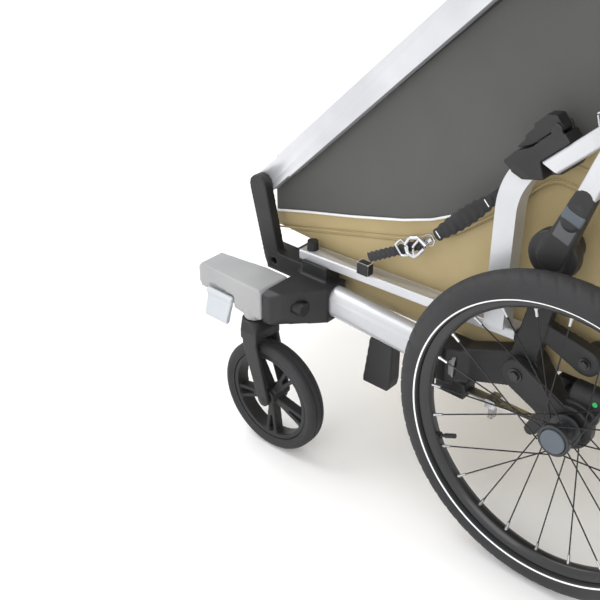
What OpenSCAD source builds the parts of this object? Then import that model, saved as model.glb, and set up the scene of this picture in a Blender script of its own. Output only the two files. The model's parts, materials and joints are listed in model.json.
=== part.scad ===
// Child bicycle trailer with stroller arms: a two-seat folding cabin on a sprung axle.
// +Z up, the front faces -Y, the trailer's left side is +X. The ground is Z = 0.

/* [Main wheels] */
// Outer radius of the tyre
wheel_r = 250; // [245:1:255]
// Half thickness of the tyre's section
tyre_r = 24; // [22:1:25]
// Distance of the tyre's middle from the centre plane
wheel_x = 365; // [360:1:370]
// Number of spokes in a wheel
spoke_count = 24; // [16:4:32]

/* [Stroller wheels] */
// Outer radius of the caster tyre
caster_r = 100; // [90:1:102]
// Width of the caster tyre
caster_w = 36; // [30:1:38]
// Distance of the caster from the centre plane
caster_x = 384; // [382:1:386]
// How far the caster's hub trails behind its swivel
caster_trail = 42; // [36:1:46]

/* [Frame] */
// Position of the main axle along the trailer
axle_y = 87; // [80:1:95]
// Distance of the base tubes from the centre plane
base_x = 300; // [299:0.5:301]
// Height of the base tube's section
base_h = 54; // [48:1:56]
// Distance of the front cabin tubes from the centre plane
cabin_x = 272; // [272:0.5:272.5]
// Distance of the rear cabin tubes from the centre plane
rear_x = 306; // [306:0.5:306.5]
// Angle of the front cabin tube above level
front_angle = 45; // [44:0.5:46]

/* [Cabin] */
// Half width of the fabric body outside
tub_x = 258; // [250:1:258]
// Thickness of the fabric walls
cloth = 4; // [3:0.5:5]

/* [Hidden] */
$fn = 48;

play = 0.25;          // gap between pieces that are fixed together
run_play = 0.05;      // radial gap of a running fit

// Points of the side view, [y, z] from the main axle and the ground
base_front = [-460, 269];
base_rear = [-195, 254];
rail_front = [-515, 324.5];
rail_rear = [-112, 340];
fold_pivot = [-605, 420];
loop_tilt = 3;
loop_reach = 300;
handle_tilt = 20;
handle_reach = 200;
front_bend = [-170, 855];
bend_r = 250;
roof_angle = 5;
knee = [-84, 609];
knee_end = [214.5, 892.5];
knee_angle = atan2(knee_end[1] - knee[1], knee_end[0] - knee[0]);
hub_pivot = [285, 952];
arm_pivot = [-90, 295];
beam = [-40, 240];
flag_base = [246, 284, -22];
side_boss = [0, 345];
latch_pin = [-80, 662];
strut_pivot = [-56, 500];
strut_angle = 70;
strut_length = 440;
spigot_x = 358;
spigot_z = 270;
spigot_r = 11;
corner_front = -510;
corner_rear = -450;
caster_y = -497;
swivel_y = caster_y - caster_trail;
stem_r = 7;
arm_plate_in = 308;
arm_plate_out = 324;
pin_r = 8;
stub_r = 6;
tow_r = 14.05;
flag_r = 5.05;

// ---- helpers -------------------------------------------------------------

// Everything is drawn from the main axle and moved to the trailer's middle here
module placed() { translate([0, axle_y, 0]) children(); }

// The left piece, or its mirror image on the right
module side(s) { placed() mirror([s > 0 ? 0 : 1, 0, 0]) children(); }

// Draws an outline given in side view, [y, z], and lets it grow along +X
module yz(x = 0) { translate([x, 0, 0]) rotate([90, 0, 90]) children(); }

// A list of points in the other order
function backwards(e) = [for (i = [len(e) - 1:-1:0]) e[i]];

// A bar with the section of its children along the side-view line from a to b
module run(a, b, x = 0) {
    d = b - a;
    yz(x) translate([a[0], a[1], 0]) rotate([0, 0, atan2(d[1], d[0])])
        rotate([90, 0, 90]) linear_extrude(norm(d)) children();
}

// A rectangle with round corners: w across the bar in side view, d along X
module section(w, d, r) {
    square([w - 2 * r, d], center = true);
    square([w, d - 2 * r], center = true);
    for (i = [-1, 1], j = [-1, 1])
        translate([i * (w / 2 - r), j * (d / 2 - r)]) circle(r, $fn = 24);
}

module hollow(w, d, r, wall) {
    difference() {
        section(w, d, r);
        section(w - 2 * wall, d - 2 * wall, r - wall);
    }
}

// Side-view outlines along the rear tube, measured from its lower end
module on_knee(x = 0) { yz(x) translate([knee[0], knee[1], 0]) rotate([0, 0, knee_angle]) children(); }

// A round bar along X from x0 to x1 at the side-view point p
module xrod(p, r, x0, x1) {
    translate([x0, p[0], p[1]]) rotate([0, 90, 0]) cylinder(r = r, h = x1 - x0);
}

// A round bar along Y from y0 to y1
module yrod(x, z, r, y0, y1) {
    translate([x, y0, z]) rotate([-90, 0, 0]) cylinder(r = r, h = y1 - y0);
}

// A plate in side view that joins two round ends, from x0 to x1
module link(a, ra, b, rb, x0, x1) {
    yz(x0) linear_extrude(x1 - x0) hull() {
        translate(a) circle(ra, $fn = 32);
        translate(b) circle(rb, $fn = 32);
    }
}

// ---- base frame ----------------------------------------------------------

module base_shape(grow = 0) {
    w = base_h + 2 * grow;
    d = 36 + 2 * grow;
    run(base_front, base_rear, base_x) section(w, d, d / 2 - 0.5);
}

module base_tubes() {
    color("silver") for (s = [-1, 1]) side(s)
        run(base_front, base_rear, base_x) hollow(base_h, 36, 17.5, 2.5);
}

module rail_shape(grow = 0) {
    run(rail_front, rail_rear, 285) section(17 + 2 * grow, 30 + 2 * grow, 3);
}

module side_rails() {
    color("silver") for (s = [-1, 1]) side(s) {
        run(rail_front, rail_rear, 285) hollow(17, 30, 3, 2);
        // Black end plug and the round bumper that the cabin frame shuts on
        translate([285, rail_front[0] + 16, rail_front[1] + 9.2]) cylinder(r = 9, h = 12);
        // Anchor of the side strap
        translate([291, -392, 338.2]) cube([14, 22, 20]);
    }
}

module front_corner(s) {
    color("#232325") side(s) difference() {
        union() {
            // Body that flares from the base tube out to the face of the stroller arm
            hull() {
                translate([276, corner_front, 242]) cube([120, 16, 50]);
                translate([276, corner_front, 252]) cube([108, 30, 46]);
                translate([277, corner_rear + 4, 236]) cube([46, 12, 62]);
            }
            translate([272, corner_front + 6, 262]) cube([36, 52, 60]);
            // Lug towards the front crossbar, with its eyelet
            translate([263, -586, 276]) cube([40, 80, 34]);
            xrod([-570, 293], 17, 263, 303);
            // Upright that carries the cabin frame's fold pin
            link([-575, 296], 17, fold_pivot, 18, 284, 302);
            xrod(fold_pivot, pin_r, 258.5, 290);
        }
        base_shape(play);
        yrod(spigot_x, spigot_z, spigot_r + run_play, corner_front - 1, corner_rear + 1);
        xrod([-570, 293], 6, 260, 310);
        rail_shape(play);
        xrod([-545, 297], 13 + play, 255, 272);
    }
}

module front_crossbar() {
    color("#232325") placed() {
        xrod([-545, 297], 13, -271, 271);
    }
}

module yoke(s) {
    color("#232325") side(s) difference() {
        union() {
            // Sleeve on the base tube
            hull() {
                translate([277, -228, 226]) cube([46, 20, 62]);
                translate([272, -200, 232]) cube([34, 24, 52]);
            }
            // Spring clamp under it
            translate([284, -226, 206]) cube([32, 52, 26]);
            link([-188, 258], 26, arm_pivot, 28, 272, 306);
            // Upright to the disc
            link([-92, 312], 20, strut_pivot, 17, 288, 306);
            xrod(strut_pivot, 24, 284, 312);
            // Leaf arm to the side boss under the seat's edge
            link([-84, 372], 12, side_boss, 21, 284, 303);
            xrod(side_boss, 16, 262, 304);
            // Lower boss of the crossbar
            link(arm_pivot, 24, beam, 20, 268, 306);
        }
        base_shape(play);
        xrod(arm_pivot, pin_r + run_play, 260, 320);
        xrod(beam, 16 + play, 255, 296);
        xrod(strut_pivot, pin_r + run_play, 270, 320);
        // Slot of the leaf spring
        translate([289, -232, 214.2]) cube([22, 70, 3.6]);
    }
}

module axle_crossbar() {
    color("#232325") placed() xrod(beam, 16, -295, 295);
}

module rear_loop() {
    color("#232325") placed() translate([0, beam[0], beam[1]]) rotate([loop_tilt, 0, 0]) {
        for (s = [-1, 1]) {
            yrod(s * 225, 0, 11, 17, loop_reach - 40);
            translate([s * 185, loop_reach - 40, 0]) rotate([0, 0, s > 0 ? 0 : 90])
                rotate_extrude(angle = 90) translate([40, 0]) circle(11);
            // Clamp on the crossbar
            difference() {
                translate([s * 225 - 16, -24, -24]) cube([32, 44, 48]);
                translate([s * 225 - 20, 0, 0]) rotate([0, 90, 0]) cylinder(r = 16 + play, h = 40);
            }
        }
        xrod([loop_reach, 0], 11, -185, 185);
        // Socket of the flag pole at the left corner, leaning back clear of the bag
        difference() {
            union() {
                translate(flag_base) rotate([-15, 0, 0]) cylinder(r = 13, h = 52);
                translate([206, 268, -8]) cube([30, 26, 16]);
            }
            translate(flag_base) rotate([-15, 0, 0]) translate([0, 0, 20]) cylinder(r = flag_r, h = 40);
        }
    }
}

post_c = [-30, 530];
post_bend = 110;
post_turn = 30;
post_top = post_c + post_bend * [-cos(post_turn), sin(post_turn)];
post_dir = [sin(post_turn), cos(post_turn)];

// One edge of the post, h in front of its middle line, up to a tip above its bend
function post_edge(h, tip) = concat(
    [[post_c[0] - post_bend - h, 350]],
    [for (t = [180:-3:180 - post_turn]) post_c + (post_bend + h) * [cos(t), sin(t)]],
    [post_top + tip * post_dir + h * [-post_dir[1], post_dir[0]]]);

module post_shape(w = 32, d = 26, tip = 14) {
    yz(300 - d / 2) linear_extrude(d)
        polygon(concat(post_edge(w / 2, tip), backwards(post_edge(-w / 2, tip))));
}

module post(s) {
    color("silver") side(s) difference() {
        post_shape();
        // The tube is hollow from its foot to the bend
        run([-140, 347], [-140, 526], 300) section(27, 21, 2);
    }
}

module fold_housings() {
    // Outlines run along the rear tube, from its lower end
    outline = [[-54, 39], [-51, 22], [-42, 5], [-23, -6], [-4, -15.5], [28, -15.5], [36, -11],
        [46, 12], [46, 26], [30, 26], [26, 34], [-8, 34], [-32, 41]];
    way_out = [[-6, 12.5], [70, 12.5], [70, -50], [-34, -50]];
    color("#232325") for (s = [-1, 1]) side(s) {
        difference() {
            on_knee(283) linear_extrude(34) polygon(outline);
            post_shape(32.5, 26.5, 14.3);
            on_knee(rear_x - 11.3) linear_extrude(40) polygon(way_out);
        }
        // Ears and pin of the latch lever
        link([-80, 650], 8, latch_pin, 7, 284, 288.4);
        link([-80, 650], 8, latch_pin, 7, 310.6, 316);
        xrod(latch_pin, 3, 286, 314);
        // Rubber lip over the seam towards the post
        on_knee(317) linear_extrude(3) polygon([[-50, 22], [-42, 6], [-34, 2], [-42, 26]]);
    }
}

module fold_latch(s) {
    // A stepped thumb lever on the housing, on a pin along X
    color("#2b2b2e") side(s) difference() {
        union() {
            on_knee(289) linear_extrude(21) polygon([[-26, 41.5], [-28, 45], [-12, 47],
                [-9, 51], [8, 53], [11, 57], [34, 58], [46, 50], [45, 37], [31, 35], [25, 36],
                [-6, 36]]);
            xrod(latch_pin, 6.5, 289, 310);
        }
        xrod(latch_pin, 3 + run_play, 280, 330);
    }
}

module strut(s) {
    dir = [cos(strut_angle), sin(strut_angle)];
    color("#232325") side(s) {
        // Disc and pin on the yoke
        xrod(strut_pivot, 36, 313, 331);
        xrod(strut_pivot, pin_r, 284.5, 316);
        // Casting with the release button, then the drawn tube up to its end lug
        link(strut_pivot, 20, strut_pivot + 96 * dir, 15, 318.5, 336);
        link(strut_pivot + 62 * dir, 12, strut_pivot + 74 * dir, 12, 335, 339);
        run(strut_pivot + 90 * dir, strut_pivot + strut_length * dir, 327.5) section(26, 16, 3);
        link(strut_pivot + (strut_length - 24) * dir, 14, strut_pivot + strut_length * dir, 14,
            318.5, 337);
        xrod(strut_pivot + strut_length * dir, 9, 284, 320);
    }
}

module tow_receiver() {
    color("#2b2b2e") placed() difference() {
        union() {
            yrod(235, 262, 20, -600, -512);
            translate([221, -566, 270]) cube([28, 42, 24]);
        }
        yrod(235, 262, tow_r, -601, -526);
        xrod([-545, 297], 13 + play, 200, 270);
    }
}

module skid_feet() {
    color("#1d1d1f") for (s = [-1, 1]) side(s) difference() {
        hull() {
            translate([288, -356, 170]) cube([24, 44, 70]);
            translate([286, -366, 152]) cube([28, 50, 10]);
        }
        base_shape(play);
    }
}

// ---- suspension and main wheels ------------------------------------------

module leaf_springs() {
    color("silver") for (s = [-1, 1]) side(s) {
        translate([290, -222, 214.5]) cube([17, 176, 3]);
        // Sliding clip with its tab
        difference() {
            translate([286, -140, 209]) cube([25, 16, 14]);
            translate([289.8, -150, 214.3]) cube([17.4, 40, 3.4]);
        }
        translate([294, -136, 188]) cube([12, 8, 21]);
    }
}

module trailing_arm(s) {
    color("#232325") side(s) {
        link(arm_pivot, 24, [0, wheel_r], 24, arm_plate_in, arm_plate_out);
        link([-30, 262], 14, [-60, 212], 9, arm_plate_in, arm_plate_out - 4);
        xrod([0, wheel_r], 34, arm_plate_in, arm_plate_out + 1.5);
        // Pivot pin, stub axle and the roller under the spring
        xrod(arm_pivot, pin_r, 274, arm_plate_out);
        xrod([0, wheel_r], stub_r, arm_plate_out, 360);
        xrod([-58, 206], 7, 292, arm_plate_in + 2);
        // Brake cylinder with its end caps
        yrod(296, 292, 18, -12, 48);
        translate([300, -6, 262]) cube([10, 40, 30]);
    }
}

module tyre(s) {
    color("#1c1c1d") side(s) translate([wheel_x, 0, wheel_r]) rotate([0, 90, 0])
        difference() {
            rotate_extrude($fn = 96) difference() {
                translate([wheel_r - tyre_r, 0]) circle(tyre_r);
                translate([0, -30]) square([212.2, 60]);
            }
            // Hollow for the inner tube
            rotate_extrude($fn = 96) translate([wheel_r - tyre_r, 0]) circle(tyre_r - 5);
            translate([0, 0, -9]) cylinder(r = 214, h = 18, $fn = 96);
        }
}

module rim(s) {
    color("#222224") side(s) translate([wheel_x, 0, wheel_r]) rotate([0, 90, 0])
        rotate_extrude($fn = 96)
            polygon([[199, -6], [199, 6], [206, 12], [212, 13], [212, 9.5], [206, 8], [206, -8],
                [212, -9.5], [212, -13], [206, -12]]);
}

// Spokes run tangentially, half from each hub flange, crossing their neighbours
module spokes(s) {
    step = 360 / spoke_count;
    color("#18181a") side(s) for (i = [0:spoke_count - 1]) {
        way = floor(i / 2) % 2 == 0 ? 1 : -1;
        lean = way * 52;
        x0 = (i % 2 == 0 ? 361.5 : 331.3) + way * 2.2;
        a = i * step + lean;
        b = i * step;
        p = [x0, 25.6 * cos(a), wheel_r + 25.6 * sin(a)];
        q = [wheel_x, 198.6 * cos(b), wheel_r + 198.6 * sin(b)];
        d = q - p;
        len = norm(d);
        translate(p) rotate([0, acos(d[2] / len), atan2(d[1], d[0])]) {
            cylinder(r = 1, h = len - 10, $fn = 16);
            translate([0, 0, len - 14]) cylinder(r = 2, h = 13.6, $fn = 16);
        }
    }
}

module hub(s) {
    color("#2a2a2c") side(s) translate([0, 0, wheel_r]) rotate([0, 90, 0])
        rotate_extrude()
            polygon([[stub_r + run_play, 327], [18, 327], [24, 329], [24, 333.5], [14, 336],
                [14, 355], [24, 357.5], [24, 365.5], [19, 365.5], [19, 361.3],
                [stub_r + run_play, 361.3]]);
}

module hub_button(s) {
    color("#4b5560") side(s) xrod([0, wheel_r], 18.5, 364.5, 368);
}

// ---- stroller arms and casters -------------------------------------------

module arm_spigot(s) {
    color("silver") side(s)
        yrod(spigot_x, spigot_z, spigot_r, -520, corner_rear - 2);
}

module stroller_arm(s) {
    color("#8f9194") side(s) difference() {
        union() {
            hull() {
                translate([329, -560, 246]) cube([70, 49, 46]);
                translate([332, -560, 242]) cube([64, 44, 55]);
                translate([340, -655, 252]) cube([50, 20, 42]);
                translate([350, -662, 258]) cube([38, 20, 28]);
            }
            translate([caster_x, swivel_y, 236]) cylinder(r = 17, h = 20);
        }
        yrod(spigot_x, spigot_z, spigot_r + run_play, -520.3, -500);
        translate([caster_x, swivel_y, 220]) cylinder(r = stem_r + run_play, h = 42);
        // Slot of the latch on the outer face
        translate([389, -634, 240]) cube([20, 62, 26]);
    }
}

module arm_latch(s) {
    color("#b9bec3") side(s) {
        yrod(397, 256, 5.5, -632, -574);
        hull() {
            translate([394, -630, 248]) cube([6, 54, 6]);
            translate([403, -628, 214]) cube([7, 50, 8]);
        }
    }
}

module fork(s) {
    color("#1f1f21") side(s) {
        translate([caster_x, swivel_y, 214]) cylinder(r = stem_r, h = 47);
        hull() {
            translate([caster_x, swivel_y, 210]) cylinder(r = 20, h = 25, $fn = 32);
            translate([caster_x - 29, swivel_y - 4, 206]) cube([58, 34, 16]);
        }
        for (k = [-1, 1]) {
            link([swivel_y + 14, 200], 15, [caster_y, caster_r], 11,
                caster_x + (k > 0 ? 21.5 : -29), caster_x + (k > 0 ? 29 : -21.5));
        }
        xrod([caster_y, caster_r], 5, caster_x - 31, caster_x + 31);
    }
}

module caster_tyre(s) {
    color("#1c1c1d") side(s) translate([caster_x, caster_y, caster_r]) rotate([0, 90, 0])
        rotate_extrude($fn = 96) {
            translate([80.2, -14]) square([9.8, 28]);
            translate([90, -caster_w / 2 + 10]) square([10, caster_w - 20]);
            translate([80.2 + 2, -caster_w / 2 + 4]) square([7.8, caster_w - 8]);
            for (k = [-1, 1]) translate([90, k * (caster_w / 2 - 10)]) circle(10);
        }
}

module caster_wheel(s) {
    color("#202022") side(s) translate([caster_x, caster_y, caster_r]) rotate([0, 90, 0])
        difference() {
            union() {
                rotate_extrude($fn = 96) translate([72, -13]) square([8, 26]);
                cylinder(r = 15, h = 38, center = true);
                for (i = [0:4]) rotate(i * 72) for (k = [-1, 1])
                    rotate(k * 7) translate([13, -3.5, -9]) cube([60.5, 7, 18]);
            }
            cylinder(r = 5 + run_play, h = 60, center = true);
        }
}

// ---- folding cabin frame -------------------------------------------------

front_dir = [cos(front_angle), sin(front_angle)];
bend_c = front_bend + bend_r * [sin(front_angle), -cos(front_angle)];
roof_start = bend_c + bend_r * [-sin(roof_angle), cos(roof_angle)];
roof_dir = [cos(roof_angle), sin(roof_angle)];
roof_end = roof_start + (230 - roof_start[0]) / cos(roof_angle) * roof_dir;

// One edge of the front tube, h above its middle line, from a before the bend to b past its end
function tube_edge(h, a, b) = concat(
    [front_bend - a * front_dir + h * [-sin(front_angle), cos(front_angle)]],
    [for (t = [front_angle + 90:-4:roof_angle + 90]) bend_c + (bend_r + h) * [cos(t), sin(t)]],
    [roof_end + b * roof_dir + h * [-sin(roof_angle), cos(roof_angle)]]);

module front_tube(s) {
    foot = front_bend - 560 * front_dir;
    color("silver") side(s) difference() {
        union() {
            yz(cabin_x - 11) linear_extrude(22)
                polygon(concat(tube_edge(20, 560, 0), backwards(tube_edge(-20, 560, 0))));
            // Foot that carries the fold pin
            link(foot, 18, fold_pivot, 18, cabin_x - 11, cabin_x + 11);
        }
        // The tube is hollow from its foot to its open end
        yz(cabin_x - 9) linear_extrude(18)
            polygon(concat(tube_edge(18, 530, 4), backwards(tube_edge(-18, 530, 4))));
        xrod(fold_pivot, pin_r + run_play, 250, 300);
    }
}

module rear_tube(s) {
    color("silver") side(s) difference() {
        run(knee + [-6, -6], knee_end, rear_x) section(24, 22, 5);
        run(knee + [-9, -9], knee_end + [4, 4], rear_x) section(19, 17, 3);
        // Slanted cut of the lower end
        on_knee(290) linear_extrude(40) polygon([[-12, 13], [-5, 13], [7, -13], [-12, -13]]);
    }
}

module handlebar_hubs() {
    color("#232325") for (s = [-1, 1]) side(s) difference() {
        union() {
            yz(259) linear_extrude(38) polygon([[232.4, 928], [232.4, 972], [262, 984],
                [300, 984], [318, 960], [314, 930], [286, 916], [224, 884], [208, 900]]);
            // Lug that the rear tube ends against
            yz(297) linear_extrude(22) polygon([[208, 900], [224, 884], [248, 896], [232, 918]]);
            xrod(hub_pivot, 30, 259, 299);
        }
        xrod(hub_pivot, pin_r + run_play, 250, 310);
    }
}

module roof_bar() {
    color("silver") placed() xrod(hub_pivot, 11, -258.7, 258.7);
}

module handlebar() {
    color("#1f1f21") placed() {
        for (s = [-1, 1]) {
            xrod(hub_pivot, pin_r, s > 0 ? 260 : -330, s > 0 ? 330 : -260);
            xrod(hub_pivot, 30, s > 0 ? 300 : -330, s > 0 ? 330 : -300);
        }
        translate([0, hub_pivot[0], hub_pivot[1]]) rotate([handle_tilt, 0, 0]) difference() {
            union() {
                for (s = [-1, 1]) {
                    yrod(s * 315, 0, 13, 0, handle_reach - 60);
                    translate([s * 255, handle_reach - 60, 0]) rotate([0, 0, s > 0 ? 0 : 90])
                        rotate_extrude(angle = 90) translate([60, 0]) circle(13);
                }
                xrod([handle_reach, 0], 13, -255, 255);
                xrod([handle_reach, 0], 16, -235, -45);
                xrod([handle_reach, 0], 16, 45, 235);
                // Housing of the release trigger
                translate([-42, 172, -15]) cube([84, 34, 30]);
            }
            translate([-31, 165, -10]) cube([62, 23, 20]);
        }
    }
}

module handle_trigger() {
    color("#4b5560") placed() translate([0, hub_pivot[0], hub_pivot[1]])
        rotate([handle_tilt, 0, 0]) translate([-30, 166, -9]) cube([60, 14, 18]);
}

module brake_pedal() {
    color("#2b2b2e") placed() translate([0, beam[0], beam[1]]) rotate([loop_tilt, 0, 0])
        difference() {
            union() {
                xrod([loop_reach, 0], 18, -45, 45);
                translate([-40, loop_reach + 8, -8]) cube([80, 62, 12]);
            }
            xrod([loop_reach, 0], 11 + run_play, -60, 60);
        }
}

// ---- soft parts ----------------------------------------------------------

tub_edge = [[-605, 358], [-541, 375], [-342, 426], [-249, 465], [-175, 526], [-104, 598],
    [240, 560]];
tub_floor = [[225, 330], [190, 285], [130, 268], [-68, 268], [-100, 245], [-485, 245],
    [-520, 320], [-600, 332]];

module cabin_tub() {
    color("#b09e73") placed() difference() {
        yz(-tub_x) linear_extrude(2 * tub_x) polygon(concat(tub_edge, tub_floor));
        yz(-tub_x + cloth) linear_extrude(2 * (tub_x - cloth))
            polygon([[-600.5, 337], [-517, 325], [-482, 250], [-102, 250], [-70, 273], [128, 273],
                [187, 290], [221, 331],
                [236, 620], [-120, 640], [-600.5, 440]]);
    }
}

module window_panel(s) {
    arc = [for (a = [135:-8:95]) bend_c + bend_r * [cos(a), sin(a)]];
    color("#4e4e4c") side(s) yz(tub_x - cloth) linear_extrude(cloth)
        polygon(concat([[-603, 362], [-541, 379], [-342, 430], [-250, 469], [-178, 530],
            [-104, 603]], [[254, 936], [252, 948]],
            [for (i = [len(arc) - 1:-1:0]) arc[i]], [[-604, 424]]));
}

module canopy() {
    roof = [for (a = [135:-8:95]) bend_c + bend_r * [cos(a), sin(a)]];
    roof_in = [for (a = [95:8:135]) bend_c + (bend_r - cloth) * [cos(a), sin(a)]];
    inner = tub_x - cloth - 1;
    color("#b09e73") placed() {
        // Roof from the front bend to the top bar, and the back panel below it
        yz(-inner) linear_extrude(2 * inner) polygon(concat(roof, [[266, 950], [266, 940],
            [240, 567], [236, 567], [261, 945]], roof_in));
        // Side gussets under the rear tubes
        for (s = [-1, 1]) mirror([s > 0 ? 0 : 1, 0, 0])
            yz(tub_x - cloth) linear_extrude(cloth) polygon([[-92, 602], [240, 563.5], [256, 931]]);
    }
}

module seat_base() {
    color("#6f6f70") placed() translate([-245, -290, 300]) cube([490, 385, 55]);
}

module seat_back() {
    color("#6f6f70") placed() yz(-245) linear_extrude(490)
        polygon([[64, 369], [100, 357.5], [226, 880], [190, 890]]);
}

module cargo_bag() {
    color("#b09e73") placed() difference() {
        yz(-230) linear_extrude(460) polygon([[250, 430], [250, 570], [266, 770], [350, 740],
            [392, 700], [400, 600], [392, 440], [330, 415]]);
        yz(-230 + cloth) linear_extrude(2 * (230 - cloth)) polygon([[254, 434], [254, 570],
            [270, 790], [352, 790], [388, 700], [396, 600], [388, 443], [330, 420]]);
    }
}

// The strap's webbing with its ring and snap hook, one on each side
module side_straps() {
    color("#1d1d1f") for (s = [-1, 1]) side(s) {
        yz(296.5) linear_extrude(3) polygon([[-381, 374], [-271, 440], [-171, 540], [-161, 530],
            [-262, 427], [-373, 362]]);
        translate([294, -274, 426]) cube([9, 14, 14]);
    }
}

base_tubes();
side_rails();
front_corner(1);  // front_corner_left
front_corner(-1);  // front_corner_right
front_crossbar();
axle_crossbar();
rear_loop();
yoke(1);  // yoke_left
yoke(-1);  // yoke_right
post(1);  // post_left
post(-1);  // post_right
fold_housings();
tow_receiver();
strut(1);  // strut_left
strut(-1);  // strut_right
cabin_tub();
seat_base();
skid_feet();
leaf_springs();
side_straps();
front_tube(1);  // front_tube_left
front_tube(-1);  // front_tube_right
rear_tube(1);  // rear_tube_left
rear_tube(-1);  // rear_tube_right
roof_bar();
canopy();
window_panel(1);  // window_left
window_panel(-1);  // window_right
seat_back();
cargo_bag();
handlebar_hubs();
handlebar();
handle_trigger();
fold_latch(1);  // fold_latch_left
fold_latch(-1);  // fold_latch_right
trailing_arm(1);  // trailing_arm_left
trailing_arm(-1);  // trailing_arm_right
tyre(1);  // tyre_left
tyre(-1);  // tyre_right
rim(1);  // rim_left
rim(-1);  // rim_right
spokes(1);  // spokes_left
spokes(-1);  // spokes_right
hub(1);  // hub_left
hub(-1);  // hub_right
hub_button(1);  // hub_button_left
hub_button(-1);  // hub_button_right
arm_spigot(1);  // arm_spigot_left
arm_spigot(-1);  // arm_spigot_right
stroller_arm(1);  // stroller_arm_left
stroller_arm(-1);  // stroller_arm_right
arm_latch(1);  // arm_latch_left
arm_latch(-1);  // arm_latch_right
fork(1);  // fork_left
fork(-1);  // fork_right
caster_tyre(1);  // caster_tyre_left
caster_tyre(-1);  // caster_tyre_right
caster_wheel(1);  // caster_wheel_left
caster_wheel(-1);  // caster_wheel_right
brake_pedal();
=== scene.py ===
# %% [markdown]
# # A child bicycle trailer, finished piece by piece
# The engineering model already fixes where every tube, wheel and hinge is. This lesson loads it as
# a frame and then gives each piece the shape and the surface that it has on the real trailer:
# satin aluminium tubes, grained nylon castings, rubber tyres, coated khaki cloth and soft seats.

# %% Load the frame
import json
from math import atan2, cos, pi, radians, sin

import bmesh
import bpy
from mathutils import Matrix, Vector, noise
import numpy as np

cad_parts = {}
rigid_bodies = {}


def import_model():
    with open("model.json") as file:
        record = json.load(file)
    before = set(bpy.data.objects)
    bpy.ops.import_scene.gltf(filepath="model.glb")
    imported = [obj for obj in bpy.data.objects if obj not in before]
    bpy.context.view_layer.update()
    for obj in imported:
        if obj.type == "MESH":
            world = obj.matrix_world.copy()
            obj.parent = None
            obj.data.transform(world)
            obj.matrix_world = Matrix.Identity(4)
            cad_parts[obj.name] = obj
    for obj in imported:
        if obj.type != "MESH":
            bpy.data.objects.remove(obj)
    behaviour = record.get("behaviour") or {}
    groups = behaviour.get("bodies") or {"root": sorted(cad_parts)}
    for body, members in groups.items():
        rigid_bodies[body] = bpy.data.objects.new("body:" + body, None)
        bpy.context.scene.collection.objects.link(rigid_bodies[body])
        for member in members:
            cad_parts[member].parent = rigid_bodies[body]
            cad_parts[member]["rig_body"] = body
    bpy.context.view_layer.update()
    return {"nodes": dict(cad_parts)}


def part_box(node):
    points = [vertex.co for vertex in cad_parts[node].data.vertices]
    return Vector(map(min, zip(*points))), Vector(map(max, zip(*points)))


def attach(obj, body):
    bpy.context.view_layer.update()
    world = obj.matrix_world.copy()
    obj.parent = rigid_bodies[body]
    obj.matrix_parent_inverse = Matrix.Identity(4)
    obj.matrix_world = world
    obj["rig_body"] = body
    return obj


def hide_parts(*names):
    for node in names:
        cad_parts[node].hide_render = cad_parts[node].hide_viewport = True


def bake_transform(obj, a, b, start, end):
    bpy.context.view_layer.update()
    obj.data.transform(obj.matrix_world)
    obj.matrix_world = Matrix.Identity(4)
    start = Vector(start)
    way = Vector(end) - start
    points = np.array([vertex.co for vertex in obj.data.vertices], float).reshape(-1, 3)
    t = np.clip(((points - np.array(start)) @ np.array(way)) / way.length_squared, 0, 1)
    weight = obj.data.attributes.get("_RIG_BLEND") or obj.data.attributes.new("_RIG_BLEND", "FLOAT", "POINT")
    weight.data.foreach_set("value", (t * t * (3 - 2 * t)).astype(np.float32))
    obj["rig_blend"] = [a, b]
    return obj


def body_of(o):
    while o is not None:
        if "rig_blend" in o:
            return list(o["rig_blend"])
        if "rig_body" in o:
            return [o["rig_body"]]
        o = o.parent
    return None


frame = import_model()

# %% [markdown]
# ## Where things are
# The side view of a trailer is easiest to read from its main axle, so one helper turns a distance
# behind the axle and a height above the ground into a point. The left side is +X and the right
# side is its mirror image, so most helpers below take a side of 1 or -1.

# %% Points of the side view, in metres from the axle and the ground
wheel_low, wheel_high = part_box("tyre_left")
wheel_middle = (wheel_low + wheel_high) / 2
axle_y = wheel_middle.y
wheel_x = wheel_middle.x
wheel_radius = wheel_high.z / 2
SIDES = {"left": 1, "right": -1}


def at(x, y, z):
    """The point x to the left, y behind the main axle and z above the ground."""
    return Vector((x, axle_y + y, z))


def cad_body(node):
    """The name of the body that a node of the frame rides on."""
    return body_of(frame["nodes"][node])[0]


def cad_slot(node):
    """The name of the material slot that a node of the frame has."""
    return frame["nodes"][node].data.materials[0].name


print("main axle at y", round(axle_y, 4), "with a wheel of radius", round(wheel_radius, 4))

# %% [markdown]
# ## Shared effects for the finishes
# Real surfaces are never one flat colour. Four small effects are used again and again, so each is
# a shader node group: soft patches of lighter and darker tone, the pebbled grain of moulded
# nylon, the crossing threads of cloth, and the fine lines that brushing leaves in metal. A group
# gives out masks and heights only. Each material decides what they do to its colour and gloss.

# %% A helper that starts a node group


def new_group(name, inputs, outputs):
    """An empty shader group with number inputs and outputs, its input node and its output node."""
    group = bpy.data.node_groups.new(name, "ShaderNodeTree")
    group.interface.new_socket(name="Vector", in_out="INPUT", socket_type="NodeSocketVector")
    for socket_name, value in inputs.items():
        socket = group.interface.new_socket(
            name=socket_name, in_out="INPUT", socket_type="NodeSocketFloat")
        socket.default_value = value
    for socket_name in outputs:
        group.interface.new_socket(
            name=socket_name, in_out="OUTPUT", socket_type="NodeSocketFloat")
    return group, group.nodes.new("NodeGroupInput"), group.nodes.new("NodeGroupOutput")


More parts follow.
